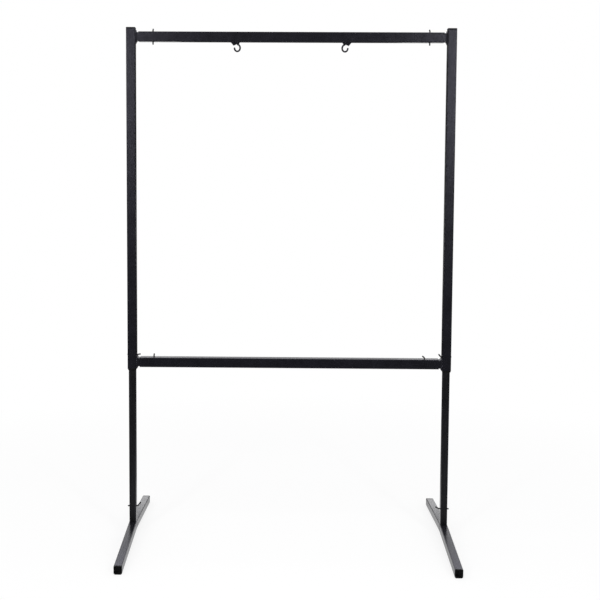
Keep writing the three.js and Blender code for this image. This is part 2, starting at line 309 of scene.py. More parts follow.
@dataclass(frozen=True)
class MouldedPlastic:
    """Black low-density polyethylene, moulded in a spark-eroded tool: a dull, finely pitted skin that goes
    grey and smooth where it is pressed and scuffed.
    """

    name: str = "moulded_plastic"
    slot: Slot = Slot.PLASTIC
    colour: str = "09090a"
    flow_colour: str = "0e0e0f"
    flow_size: float = 11  # faint clouds where the plastic flowed into the mould
    scuff_colour: str = "262627"
    scuff_size: float = 2.5
    scuffed_below: float = 6  # height over the floor up to which the treads are scuffed
    edge_width: float = 0.9
    edge_share: float = 0.25  # how much of the scuffs' colour the edges take
    roughness: tuple[float, float] = (0.6, 0.72)
    specular: float = 0.16
    grain_size: float = 0.9  # real pits are about 0.1 mm apart, drawn coarser so that they show
    grain_depth: float = 0.02

    def material(self) -> Material:
        """Builds the plastic's nodes.

        Returns:
            The material.
        """
        material, tree, place = empty_material(self.name)
        flow = mottle(tree, place, self.flow_size, MOST)
        height = add_node(tree, "SeparateXYZ", links={"Vector": place})["Z"]
        low = add_node(tree, "MapRange", values=ramp(self.scuffed_below * MM, 0.0), links={"Value": height})
        patches = mottle(tree, place, self.scuff_size, (0.45, 0.7), (0.1, 1.0), detail=4, rough=0.65)
        scuffs = add_node(tree, "Math", TIMES, links={0: low[0], 1: patches})
        edges = rubbed_edges(tree, self.edge_width, self.edge_share)
        worn = add_node(tree, "Math", LARGER, links={0: scuffs[0], 1: edges})
        colour = painted(tree, self.colour, (flow, self.flow_colour), (worn[0], self.scuff_colour))
        rough = mottle(tree, place, self.flow_size, MOST, self.roughness)
        pits = mottle(tree, place, self.grain_size, rough=0.6)
        bump = {"Strength": 0.7, "Distance": self.grain_depth * MM}
        values = {"IOR": 1.51, "Specular IOR Level": self.specular}
        close_tree(tree, pits, bump, values, {"Base Color": colour, "Roughness": rough})
        return material


@dataclass(frozen=True)
class BlackenedRod:
    """Drawn steel rod, blackened in a hot oxide bath and oiled: a thin black crust with a soft sheen, faint
    lines along the rod from the drawing die, and steel just showing through on its ends.
    """

    name: str = "blackened_rod"
    slot: Slot = Slot.ROD
    lines: Axis = Axis.Z
    colour: str = "0d0d0f"
    warm_colour: str = "131211"
    bath_size: float = 7  # blotches where the bath took more or less
    bare_colour: str = "5a5a5c"
    edge_width: float = 0.5
    edge_share: float = 0.5  # how bare the ends' edges are
    line_share: float = 0.2  # how bare the brightest lines are
    roughness: tuple[float, float] = (0.36, 0.5)
    specular: float = 0.35
    line_size: float = 0.8  # real die lines are finer still, drawn coarser so that they show
    line_depth: float = 0.01

    def material(self) -> Material:
        """Builds the rod's nodes.

        Returns:
            The material.
        """
        material, tree, place = empty_material(self.name)
        bath = mottle(tree, place, self.bath_size, (0.35, 0.65), detail=3)
        links = {"Vector": place}
        along = add_node(tree, "Mapping", values={"Scale": self.lines.value}, links=links)[0]
        bright = mottle(tree, along, self.line_size, (0.6, 0.85), (0.0, self.line_share), rough=0.6)
        rough = mottle(tree, along, self.line_size, MOST, self.roughness, rough=0.6)
        lines = mottle(tree, along, self.line_size, rough=0.6)
        edges = rubbed_edges(tree, self.edge_width, self.edge_share)
        worn = add_node(tree, "Math", LARGER, links={0: bright, 1: edges})[0]
        colour = painted(tree, self.colour, (bath, self.warm_colour), (worn, self.bare_colour))
        bump = {"Strength": 0.5, "Distance": self.line_depth * MM}
        values = {"IOR": 1.5, "Specular IOR Level": self.specular}
        links = {"Base Color": colour, "Metallic": worn, "Roughness": rough}
        close_tree(tree, lines, bump, values, links)
        return material


Finish = PowderCoat | MouldedPlastic | BlackenedRod

COAT = PowderCoat()
# The legs' coat. Its rub streaks are real wear. Its colour and gloss are a touch darker and less blue than
# COAT's: painted shade, for the duller light low on the stand.
SLID_AND_SHADED_COAT = PowderCoat(
    name="powder_coat_slid_on_shaded",
    colour="101011",
    thick_colour="141415",
    tint="f4f4ff",
    rubbed=Axis.Z,
)
WELD_COAT = PowderCoat(name="powder_coat_on_weld", peel_depth=0.025, roughness=(0.2, 0.3))
PLASTIC = MouldedPlastic()
UPRIGHT_ROD = BlackenedRod()
CROSS_ROD = BlackenedRod(name="blackened_rod_across", lines=Axis.X)


@cache
def material_of(finish: Finish) -> Material:
    """Gives a finish's material, built once."""
    return finish.material()


# Shaping


def shift(x: float = 0, y: float = 0, z: float = 0) -> Matrix:
    """A plain move."""
    return Matrix.Translation((x, y, z))


def stretched(wide: float, deep: float) -> Matrix:
    """A change of size along X and Y."""
    return Matrix.Diagonal((wide, deep, 1, 1))


def placed(bm: BMesh, *moves: Matrix) -> BMesh:
    """Moves a solid.

    Args:
        bm: The solid.
        moves: Its moves, the first one first.

    Returns:
        The same mesh.
    """
    for move in moves:
        bmesh.ops.transform(bm, matrix=move, verts=bm.verts[:])
    return bm


def face_out(bm: BMesh) -> BMesh:
    """Turns a closed solid's faces outwards."""
    bmesh.ops.recalc_face_normals(bm, faces=bm.faces[:])
    return bm


def draw_off(bm: BMesh, faces: Sequence[BMFace]) -> tuple[list[BMFace], list[BMVert]]:
    """Draws faces off a mesh, and gives them and their corners, which still lie where they were."""
    drawn = bmesh.ops.extrude_face_region(bm, geom=faces)["geom"]
    return [g for g in drawn if isinstance(g, BMFace)], [g for g in drawn if isinstance(g, BMVert)]


def draw_up(bm: BMesh, length: float) -> BMesh:
    """Draws a flat shape on the XY plane up into a solid.

    Args:
        bm: The flat shape.
        length: How far up.

    Returns:
        The same mesh.
    """
    _, corners = draw_off(bm, bm.faces[:])
    bmesh.ops.translate(bm, vec=(0, 0, length), verts=corners)
    return face_out(bm)


def swept(section: BMesh, stops: Sequence[Matrix]) -> BMesh:
    """Draws a flat face through a row of places, as a closed solid.

    Args:
        section: The face on the XY plane.
        stops: Where it lies at each step, how it is turned, and its size there.

    Returns:
        The solid, in the section's mesh.
    """
    placed(section, stops[0])
    front = section.faces[:]
    for before, after in zip(stops, stops[1:]):
        front, corners = draw_off(section, front)
        bmesh.ops.transform(section, matrix=after @ before.inverted(), verts=corners)
    return face_out(section)


def stops_along(points: Sequence[Vector], beside: Vector, sizes: Sequence[float]) -> list[Matrix]:
    """Sets up the stops of a sweep whose path lies in one plane.

    Args:
        points: The path.
        beside: The plane's normal.
        sizes: The section's size at each point, as a share.

    Returns:
        One placing for each point.
    """
    stops = []
    for i, point in enumerate(points):
        ahead = (points[min(i + 1, len(points) - 1)] - points[max(i - 1, 0)]).normalized()
        across = beside.cross(ahead).normalized()
        turn = Matrix((across, beside, ahead)).transposed().to_4x4()
        stops.append(Matrix.Translation(point) @ turn @ Matrix.Scale(sizes[i], 4))
    return stops


def rounded_square(wide: float, deep: float, radius: float) -> BMesh:
    """Makes one flat face, centred on the origin of the XY plane.

    Args:
        wide: Size along X.
        deep: Size along Y.
        radius: Of its corners.

    Returns:
        The face, alone in its mesh.
    """
    bm = bmesh.new()
    corners = bmesh.ops.create_grid(bm, x_segments=1, y_segments=1, size=0.5)["verts"]
    placed(bm, stretched(wide, deep))
    if radius > 0:
        bmesh.ops.bevel(
            bm, geom=corners, offset=radius, segments=6, profile=0.5, affect="VERTICES", material=-1
        )
    return bm


def disc(radius: float, sides: int) -> BMesh:
    """Makes a round flat face on the XY plane.

    Args:
        radius: Its radius.
        sides: How many edges it has.

    Returns:
        The face, alone in its mesh.
    """
    bm = bmesh.new()
    bmesh.ops.create_circle(bm, cap_ends=True, radius=radius, segments=sides)
    return bm


def ring_outline(size: float, wall: float, radius: float) -> BMesh:
    """Makes a square tube's flat section.

    Args:
        size: Outside size.
        wall: Wall.
        radius: Of the outside corners.

    Returns:
        The section on the XY plane.
    """
    bm = rounded_square(size, size, radius)
    core = bm.faces[:]
    bmesh.ops.inset_individual(bm, faces=core, thickness=wall, use_even_offset=True)
    bmesh.ops.delete(bm, geom=core, context="FACES")
    return bm


def square_tube(size: float, wall: float, radius: float, length: float) -> BMesh:
    """Makes a square tube from the XY plane up."""
    return draw_up(ring_outline(size, wall, radius), length)


def block(wide: float, deep: float, length: float) -> BMesh:
    """Makes a plain block from the XY plane up."""
    return draw_up(rounded_square(wide, deep, 0), length)


def soften(bm: BMesh, width: float) -> BMesh:
    """Rounds off a solid's sharp edges.

    Args:
        bm: The solid.
        width: Of the rounding.

    Returns:
        The same mesh.
    """
    edges = [e for e in bm.edges if len(e.link_faces) == 2 and e.calc_face_angle() > SHARP]
    bmesh.ops.bevel(
        bm,
        geom=edges,
        offset=width,
        offset_type="OFFSET",
        segments=2,
        profile=0.5,
        affect="EDGES",
        clamp_overlap=True,
        material=-1,
    )
    return bm


def divided(bm: BMesh, normal: tuple[float, float, float]) -> BMesh:
    """Divides a solid's faces at a plane through the origin, and keeps both halves."""
    bmesh.ops.bisect_plane(bm, geom=[*bm.verts, *bm.edges, *bm.faces], plane_no=normal, dist=CUT)
    return bm


def plain_object(name: str, solids: Sequence[BMesh]) -> Object:
    """Joins solids in one object, and frees them.

    Args:
        name: The object's name.
        solids: What it holds.

    Returns:
        The object, linked to the scene.
    """
    mesh = bpy.data.meshes.new(name)
    whole = bmesh.new()
    for solid in solids:
        solid.to_mesh(mesh)
        solid.free()
        whole.from_mesh(mesh)
    whole.to_mesh(mesh)
    whole.free()
    made = bpy.data.objects.new(name, mesh)
    bpy.context.scene.collection.objects.link(made)
    return made


def drilled(bm: BMesh, size: float, holes: Sequence[tuple[Vector, Axis]]) -> BMesh:
    """Drills pin holes right through a tube.

    Args:
        bm: The tube.
        size: Its outside size.
        holes: The middle of each hole and the way that it runs.

    Returns:
        The drilled tube, in a new mesh.
    """
    drills = []
    depth = size + SIZES.overrun
    for centre, way in holes:
        turn = ACROSS_X if way is Axis.X else Matrix.Identity(4)
        drill = draw_up(disc(SIZES.hole, DRILL_SIDES), depth)
        drills.append(placed(drill, shift(z=-depth / 2), turn, Matrix.Translation(centre)))
    tube, cutter = (plain_object(name, parts) for name, parts in (("tube", [bm]), ("drills", drills)))
    cut = tube.modifiers.new("drill", "BOOLEAN")
    cut.operation, cut.solver, cut.object = "DIFFERENCE", "EXACT", cutter
    bpy.context.view_layer.update()
    result = bmesh.new()
    result.from_object(tube, bpy.context.evaluated_depsgraph_get())
    for spent in (tube, cutter):
        data = spent.data
        bpy.data.objects.remove(spent)
        bpy.data.meshes.remove(data)
    bmesh.ops.remove_doubles(result, verts=result.verts[:], dist=MERGE)
    return face_out(result)


def lid(size: float, thick: float, edge: float, sunk: float) -> BMesh:
    """Makes the plate of a moulded cap: its outer edge rounded, its middle sunk a little as it cooled.

    Args:
        size: Across the plate.
        thick: Its thickness.
        edge: Rounding of its outer edge.
        sunk: How far its middle lies below its rim.

    Returns:
        The plate, from the XY plane up.
    """
    half, chamfer, steps = size / 2, 0.3, 4
    profile = [(0.0, half - chamfer), (chamfer, half), (thick - edge, half)]
    for i in range(1, steps + 1):
        turned = math.pi / 2 * i / steps
        profile.append((thick - edge + edge * math.sin(turned), half - edge + edge * math.cos(turned)))
    for sunk_share, reach_share in ((0.0, 0.72), (0.7, 0.6), (1.0, 0.4)):
        profile.append((thick - sunk * sunk_share, half * reach_share))
    stops = [shift(z=z) @ stretched(reach / half, reach / half) for z, reach in profile]
    return swept(rounded_square(size, size, SIZES.corner), stops)


def plug_for(tube: float, length: float) -> BMesh:
    """Makes the hollow plug that holds a cap in a tube's end, from the XY plane up."""
    size = tube - 2 * SIZES.wall - 2 * SIZES.gap
    return square_tube(size, SIZES.plug_wall, SIZES.plug_corner, length)


def weld_bead(points: Sequence[Vector], beside: Vector, radius: float, pitch: float) -> BMesh:
    """Lays a rippled weld bead along a path in one plane.

    Args:
        points: The path's corners.
        beside: The plane's normal.
        radius: Of the bead.
        pitch: From ripple to ripple.

    Returns:
        The bead.
    """
    trough_share, ripple_share, end_share, steps_a_ripple = 0.84, 0.22, 0.45, 4
    path, along, run = [], [], 0.0
    for start, end in zip(points, points[1:]):
        length = (end - start).length
        count = max(1, round(length / (pitch / steps_a_ripple)))
        for i in range(count):
            path.append(start.lerp(end, i / count))
            along.append(run + length * i / count)
        run += length
    path.append(points[-1])
    along.append(run)
    sizes = [trough_share + ripple_share * abs(math.cos(math.pi * a / pitch)) for a in along]
    sizes[0] = sizes[-1] = end_share
    return swept(disc(radius, BEAD_SIDES), stops_along(path, beside, sizes))


# Fitting


def fit(
    name: str,
    solids: Sequence[BMesh],
    moves: Sequence[Matrix],
    finish: Finish,
    body: str,
    stands_for: Sequence[str] = (),
) -> Object:
    """Makes a finished piece of solids in millimetres, dresses it and sets it on its body.

    Args:
        name: The piece's name.
        solids: Closed solids.
        moves: What takes them where they belong, in order.
        finish: What it is dressed in.
        body: What it moves with.
        stands_for: The solids of the frame that it takes the place of.

    Returns:
        The piece.
    """
    piece = plain_object(name, [placed(solid, *moves) for solid in solids])
    piece.data.transform(Matrix.Scale(MM, 4))
    piece.data.shade_smooth()
    piece.data.set_sharp_from_angle(angle=CREASE)
    even = piece.modifiers.new("even_shading", "WEIGHTED_NORMAL")
    even.keep_sharp = True
    even.weight = 100
    bpy.context.view_layer.update()
    graph = bpy.context.evaluated_depsgraph_get()
    shaded = piece.evaluated_get(graph)
    mesh = bpy.data.meshes.new_from_object(shaded, preserve_all_data_layers=True, depsgraph=graph)
    spent = piece.data
    piece.modifiers.clear()
    piece.data = mesh
    mesh.name = name
    bpy.data.meshes.remove(spent)
    mesh.materials.clear()
    mesh.materials.append(material_of(finish))
    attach(piece, body)
    if stands_for:
        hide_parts(*stands_for)
    log.info("%s: %d faces, on %s", name, len(mesh.polygons), body)
    return piece


def dress_solid(node: str, finish: Finish) -> None:
    """Gives a solid of the frame that stays its finish.

    Args:
        node: Its name.
        finish: What it is dressed in.
    """
    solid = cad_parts[node]
    if not solid.material_slots:
        solid.data.materials.append(None)
    for place in solid.material_slots:
        place.material = material_of(finish)
    log.info("%s: solid kept", node)


# Pieces

Pairs = tuple[tuple[float, float], ...]


@dataclass
class Sizes:
    """The sizes that several pieces share, in millimetres."""

    height: float = 1840
    post_centre: float = 566
    post_size: float = 32
    bar_size: float = 35
    top_bar: float = 1807.5  # its centre line
    lower_bar: float = 646
    leg_size: float = 25
    wall: float = 2
    corner: float = 3  # outside corner of every tube
    gap: float = 0.3  # between pieces that rest on or in each other
    plug_wall: float = 2.2
    plug_corner: float = 1
    foot_size: float = 28
    foot_rise: float = 28  # floor to its underside at its middle
    foot_fall: float = 26.4  # from its middle to its end
    foot_reach: float = 377  # its middle to its end, along the floor
    hole: float = 3.1  # radius of every pin hole
    overrun: float = 5  # how much longer a drill is than what it goes through
    bar_pin: float = 62  # post's inner face to the pin through a bar
    height_pin: float = 672
    foot_pin: float = 112

    @property
    def foot_slope(self) -> float:
        """How steeply a foot falls from its middle, in radians."""
        return math.atan2(self.foot_fall, self.foot_reach)

    @property
    def foot_crown(self) -> float:
        """The height of a foot's centre line at its middle."""
        return self.foot_rise + self.foot_size / 2 / math.cos(self.foot_slope)

    def on_side(self, side: Side) -> tuple[Matrix, Matrix]:
        """The moves that take a piece made for the right, around the post's centre line, to its side."""
        return side.turn, shift(x=side.across * self.post_centre)


SIZES = Sizes()


@dataclass
class Foot:
    """A foot: one tube cut and welded into a very shallow inverted V, with a cap in each end."""

    side: Side
    half_run: float = 370.63  # its middle to the tube's end, along its slope
    cap_end: float = 376.93  # its middle to the cap's face
    cap_plate: float = 6
    plug: float = 16
    tread_end: float = 374.85  # how far out the tread touches the floor
    tread_run: float = 5.9
    pad_thick: float = 3.2
    ribs: int = 3
    rib_wide: float = 1.3
    rib_tall: float = 1.4
    rib_bared: float = 0.7  # how much of that shows under the pad
    rib_inset: float = 0.5
    seam_top: float = 51
    seam_corner: float = 2
    seam_sunk: float = 0.9  # how far its middle lies inside the tube's face

    def bent(self, bm: BMesh) -> BMesh:
        """Bends a body along Z, divided at the middle, into the foot's V.

        Args:
            bm: The body, its underside towards +Y.

        Returns:
            The same mesh.
        """
        slope, crown = SIZES.foot_slope, SIZES.foot_crown
        for v in bm.verts:
            down, run = v.co.y, v.co.z
            if abs(run) < NEAR:
                v.co = (v.co.x, 0, crown - down / math.cos(slope))
            else:
                reach = abs(run)
                out = reach * math.cos(slope) - down * math.sin(slope)
                high = crown - reach * math.sin(slope) - down * math.cos(slope)
                v.co = (v.co.x, math.copysign(out, run), high)
        return face_out(bm)

    def tube(self) -> BMesh:
        """Makes the bent tube.

        Returns:
            The tube, around the stand's middle plane.
        """
        bm = square_tube(SIZES.foot_size, SIZES.wall, SIZES.corner, 2 * self.half_run)
        placed(soften(bm, width=0.35), shift(z=-self.half_run))
        return self.bent(divided(bm, (0, 0, 1)))

    def seam(self) -> BMesh:
        """Lays the weld where the two halves meet, ground away on top, where the leg stands.

        Returns:
            The bead.
        """
        half, low = SIZES.foot_size / 2 - self.seam_sunk, SIZES.foot_rise + self.seam_sunk
        points = [(half, self.seam_top), (half, low + self.seam_corner), (half - self.seam_corner, low)]
        points += [(-x, z) for x, z in reversed(points)]
        return weld_bead([Vector((x, 0, z)) for x, z in points], Vector((0, 1, 0)), radius=1.5, pitch=2.6)

    def sole(self) -> list[BMesh]:
        """Makes the tread under the back end's cap: a flat pad with ribs that grip the floor.

        Returns:
            Its solids.
        """
        wide = SIZES.foot_size - 2 * SIZES.corner
        front = self.tread_end - self.tread_run
        pad = soften(block(wide, self.tread_run, self.pad_thick), width=0.4)
        solids = [placed(pad, shift(y=front + self.tread_run / 2, z=self.rib_bared))]
        for i in range(self.ribs):
            rib = soften(block(wide - 2 * self.rib_inset, self.rib_wide, self.rib_tall), width=0.35)
            solids.append(placed(rib, shift(y=front + (i + 0.5) * self.tread_run / self.ribs)))
        return solids

    def cap(self) -> list[BMesh]:
        """Makes the cap of the back end: plate, tread and plug.

        Returns:
            Its solids.
        """
        slope = shift(z=SIZES.foot_crown) @ Matrix.Rotation(-math.pi / 2 - SIZES.foot_slope, 4, "X")
        plate = lid(SIZES.foot_size, self.cap_plate, edge=1.3, sunk=0.35)
        placed(plate, shift(z=self.cap_end - self.cap_plate), slope)
        plug = plug_for(SIZES.foot_size, self.plug + SIZES.gap)
        placed(plug, shift(z=self.half_run - self.plug), slope)
        return [plate, *self.sole(), plug]

    def build(self) -> list[Object]:
        """Builds and dresses the foot and its caps.

        Returns:
            Its pieces.
        """
        moves = SIZES.on_side(self.side)
        name = self.side.value
        made = [
            fit(f"foot_tube_{name}", [self.tube()], moves, COAT, "base", [f"foot_{name}"]),
            fit(f"foot_seam_{name}", [self.seam()], moves, WELD_COAT, "base"),
        ]
        for end, about in (("back", Matrix.Identity(4)), ("front", Matrix.Rotation(math.pi, 4, "Z"))):
            piece, solid = f"foot_end_{name}_{end}", f"foot_cap_{name}_{end}"
            made.append(fit(piece, self.cap(), (self.side.turn, about, *moves), PLASTIC, "base", [solid]))
        dress_solid(f"foot_socket_{name}", COAT)
        return made


@dataclass
class Leg:
    """A leg: the thinner tube with its row of holes, which the post slides on."""

    side: Side
    top: float = 832
    stock_end: float = 40  # where its tube starts before it is cut to sit on the foot
    pitch: float = 50
    steps_down: int = 4
    steps_up: int = 2

    def tube(self) -> BMesh:
        """Makes the tube, its lower end cut to sit on the foot.

        Returns:
            The tube.
        """
        bm = square_tube(SIZES.leg_size, SIZES.wall, SIZES.corner, self.top - self.stock_end)
        divided(placed(bm, shift(z=self.stock_end)), (0, 1, 0))
        slope = SIZES.foot_slope
        seat = SIZES.foot_crown + (SIZES.foot_size / 2 + SIZES.gap) / math.cos(slope)
        for v in bm.verts:
            if v.co.z < seat:
                v.co.z = seat - abs(v.co.y) * math.tan(slope)
        steps = range(-self.steps_down, self.steps_up + 1)
        heights = [SIZES.foot_pin, *(SIZES.height_pin + i * self.pitch for i in steps)]
        bm = drilled(bm, SIZES.leg_size, [(Vector((0, 0, z)), Axis.X) for z in heights])
        return soften(bm, width=0.35)

    def build(self) -> None:
        """Builds and dresses the leg and its guide."""
        name = self.side.value
        # the leg's coat carries painted shade as well as its rub streaks
        fit(f"leg_tube_{name}", [self.tube()], SIZES.on_side(self.side), SLID_AND_SHADED_COAT, "base", [f"leg_{name}"])
        dress_solid(f"leg_guide_{name}", PLASTIC)


@dataclass
class Post:
    """A post: the thicker tube with its cap, its bush and the two bar stubs."""

    side: Side
    bottom: float = 623
    top_plate: float = 5
    plug: float = 14
    bush_taper: float = 6
    bush_rim: float = 27.6
    bush_lip: float = 0.1  # what lies this far outside the bore is drawn in to the rim
    bush_sleeve: float = 34
    sleeve_lap: float = 1  # how far the sleeve reaches down into the collar
    stub_size: float = 30
    stub_reach: float = 98
    root_run: float = 9
    root_rings: int = 7
    root_flare: float = 7
    root_side: float = 0.6
    root_curve: float = 1.7  # how fast the flare dies away
    root_skin: float = 0.05  # how far the root stands off the post and the stub
    bead_sunk: float = 0.9  # how far its middle lies off the post, and inside the root's side
    bead_corner: float = 3

    def tube(self) -> BMesh:
        """Makes the post's tube.

        Returns:
            The tube.
        """
        length = SIZES.height - self.top_plate - self.bottom
        bm = placed(square_tube(SIZES.post_size, SIZES.wall, SIZES.corner, length), shift(z=self.bottom))
        bm = drilled(bm, SIZES.post_size, [(Vector((0, 0, SIZES.height_pin)), Axis.X)])
        return soften(bm, width=0.4)

    def cap(self) -> list[BMesh]:
        """Makes the cap in the post's top: a plate with rounded edges, low in the middle, and its plug.

        Returns:
            Its solids.
        """
        plate = lid(SIZES.post_size, self.top_plate - SIZES.gap, edge=1.1, sunk=0.3)
        plug = plug_for(SIZES.post_size, self.plug)
        base = SIZES.height - self.top_plate + SIZES.gap
        return [placed(plate, shift(z=base)), placed(plug, shift(z=base - self.plug))]

    def bush(self) -> list[BMesh]:
        """Makes the collar under the post's end and its sleeve up inside it.

        Returns:
            Its solids.
        """
        clear = SIZES.leg_size + 2 * SIZES.gap
        collar = ring_outline(SIZES.post_size, (SIZES.post_size - clear) / 2, SIZES.corner)
        draw_up(collar, self.bush_taper - SIZES.gap)
        share, bore = self.bush_rim / SIZES.post_size, clear / 2 + self.bush_lip
        for v in collar.verts:
            if v.co.z < NEAR and max(abs(v.co.x), abs(v.co.y)) > bore:
                v.co = (v.co.x * share, v.co.y * share, v.co.z)
        placed(soften(collar, width=0.35), shift(z=self.bottom - self.bush_taper))
        size = SIZES.post_size - 2 * SIZES.wall - 2 * SIZES.gap
        length = self.bush_sleeve + self.sleeve_lap
        sleeve = square_tube(size, wall=(size - clear) / 2, radius=1.6, length=length)
        return [collar, placed(sleeve, shift(z=self.bottom - self.sleeve_lap))]

    def stub(self) -> list[BMesh]:
        """Makes a bar stub up from the post's face: a tube whose root spreads out to its weld.

        Returns:
            Its solids, the root's long way along X.
        """
        size = self.stub_size
        body = square_tube(size, SIZES.wall, SIZES.corner, self.stub_reach - SIZES.gap)
        body = soften(drilled(body, size, [(Vector((0, 0, SIZES.bar_pin)), Axis.X)]), width=0.4)
        half, stops = size / 2, []
        for i in range(self.root_rings):
            share = i / (self.root_rings - 1)
            flare = (1 - share) ** self.root_curve
            wide, deep = (half + self.root_skin + out * flare for out in (self.root_flare, self.root_side))
            up = shift(z=self.root_skin + share * self.root_run)
            stops.append(up @ stretched(wide / half, deep / half))
        return [body, swept(rounded_square(size, size, SIZES.corner), stops)]

    def weld(self) -> BMesh:
        """Lays the bead around a stub's root, against the post.

        Returns:
            The bead on the XY plane, as the stub stands.
        """
        wide = self.stub_size / 2 + self.root_flare
        deep = self.stub_size / 2 + self.root_side - self.bead_sunk
        near_wide, near_deep = wide - self.bead_corner, deep - self.bead_corner
        half = [(near_wide, -deep), (wide, -near_deep), (wide, near_deep), (near_wide, deep)]
        round_root = [(0, -deep), *half, *((-x, -y) for x, y in half), (0, -deep)]
        path = [Vector((x, y, self.bead_sunk)) for x, y in round_root]
        return weld_bead(path, Vector((0, 0, 1)), radius=1.8, pitch=3.8)

    def build(self) -> None:
        """Builds and dresses the post and what it carries."""
        name = self.side.value
        moves = SIZES.on_side(self.side)
        fit(f"post_tube_{name}", [self.tube()], moves, COAT, "frame", [f"post_{name}"])
        fit(f"post_top_{name}", self.cap(), moves, PLASTIC, "frame", [f"post_cap_{name}"])
        fit(f"post_collar_{name}", self.bush(), moves, PLASTIC, "frame", [f"post_bush_{name}"])
        for bar, height in (("top", SIZES.top_bar), ("lower", SIZES.lower_bar)):
            at_post = (ACROSS_X, shift(x=-SIZES.post_size / 2, z=height), *moves)
            fit(f"{bar}_bar_stub_{name}", self.stub(), at_post, COAT, "frame", [f"{bar}_stub_{name}"])
            fit(f"{bar}_stub_weld_{name}", [self.weld()], at_post, WELD_COAT, "frame")


@dataclass
class Crossbar:
    """A crossbar, slipped over a stub at each end and drilled for its pins."""

    name: str
    height: float
    length: float = 1076

    def build(self) -> None:
        """Builds and dresses the bar."""
        bm = square_tube(SIZES.bar_size, SIZES.wall, SIZES.corner, self.length)
        placed(bm, shift(z=-self.length / 2), ACROSS_X, shift(z=self.height))
        reach = SIZES.post_centre - SIZES.post_size / 2 - SIZES.bar_pin
        holes = [(Vector((x, 0, self.height)), Axis.Z) for x in (-reach, reach)]
        bm = soften(drilled(bm, SIZES.bar_size, holes), width=0.4)
        fit(f"{self.name}_tube", [bm], (), COAT, "frame", [self.name])


@dataclass
class GongHook:
    """A hook: a loop of bent rod below a wedge cut from bar, welded under the top bar, its mouth outwards.

    Places are measured from the loop's middle, under the bar, and the wedge's long side lies towards -X.
    """

    side: Side
    spacing: float = 380
    rod: float = 3.0  # its radius
    half_width: float = 9.9
    half_height: float = 12.1
    drop: float = 20.2  # bar's underside to the loop's middle
    start: float = 96  # degrees, where the rod leaves the wedge
    sweep: float = 284  # degrees, from there to its free end
    tip: tuple[float, float, float] = (0.96, 0.8, 0.35)  # how thin the rod gets over its last steps
    steps: int = 64
    thickness: float = 8
    wedge: Pairs = ((-23.5, -0.1), (-13.4, -12.6), (-2.7, -7.8), (5.4, -7.8), (9.3, -0.1))  # from the front
    wedge_edge: float = 1.3  # rounding of its lower edges
    bead: Pairs = ((-23, -1), (-21.5, -4.4), (7.5, -4.4), (9.2, -1))  # its front half, from above
    bead_drop: float = 0.6

    def loop(self) -> BMesh:
        """Bends the rod, with a rounded free end.

        Returns:
            The loop, hanging below the XY plane.
        """
        points = []
        for i in range(self.steps + 1):
            angle = math.radians(self.start - self.sweep * i / self.steps)
            x, z = self.half_width * math.cos(angle), self.half_height * math.sin(angle) - self.drop
            points.append(Vector((x, 0, z)))
        sizes = [1.0] * len(points)
        sizes[-3:] = self.tip
        return swept(disc(self.rod, sides=20), stops_along(points, Vector((0, 1, 0)), sizes))

    def root(self) -> BMesh:
        """Cuts the wedge between the bar and the loop.

        Returns:
            The wedge.
        """
        bm = bmesh.new()
        face = bm.faces.new([bm.verts.new((x, -self.thickness / 2, z)) for x, z in self.wedge])
        _, corners = draw_off(bm, [face])
        bmesh.ops.translate(bm, vec=(0, self.thickness, 0), verts=corners)
        face_out(bm)
        top, width = self.wedge[0][1] - NEAR, self.wedge_edge
        edges = [e for e in bm.edges if (e.verts[0].co.z + e.verts[1].co.z) / 2 < top]
        bmesh.ops.bevel(bm, geom=edges, offset=width, segments=4, profile=0.5, affect="EDGES", material=-1)
        return bm

    def weld(self) -> BMesh:
        """Lays the bead around the wedge, against the bar.

        Returns:
            The bead.
        """
        round_wedge = [*self.bead, *((x, -y) for x, y in reversed(self.bead)), self.bead[0]]
        path = [Vector((x, y, -self.bead_drop)) for x, y in round_wedge]
        return weld_bead(path, Vector((0, 0, 1)), radius=1.3, pitch=2.4)

    def build(self) -> None:
        """Builds and dresses the hook."""
        name = self.side.value
        turned = Matrix.Rotation(0.0 if self.side is Side.LEFT else math.pi, 4, "Z")
        hung = shift(x=self.side.across * self.spacing / 2, z=SIZES.top_bar - SIZES.bar_size / 2)
        moves, stands_for = (turned, hung), [f"gong_hook_{name}"]
        fit(f"hook_{name}", [self.loop(), self.root()], moves, COAT, "frame", stands_for)
        fit(f"hook_weld_{name}", [self.weld()], moves, WELD_COAT, "frame")


class PinKind(Enum):
    """The kinds of locking pin: the name of its solid, its shank's length and its handle's."""

    TOP_BAR = ("top_bar_pin", 45, 8)
    LOWER_BAR = ("lower_bar_pin", 37, 8)
    HEIGHT = ("height_pin", 35, 10)
    FOOT = ("foot_pin", 32, 15)


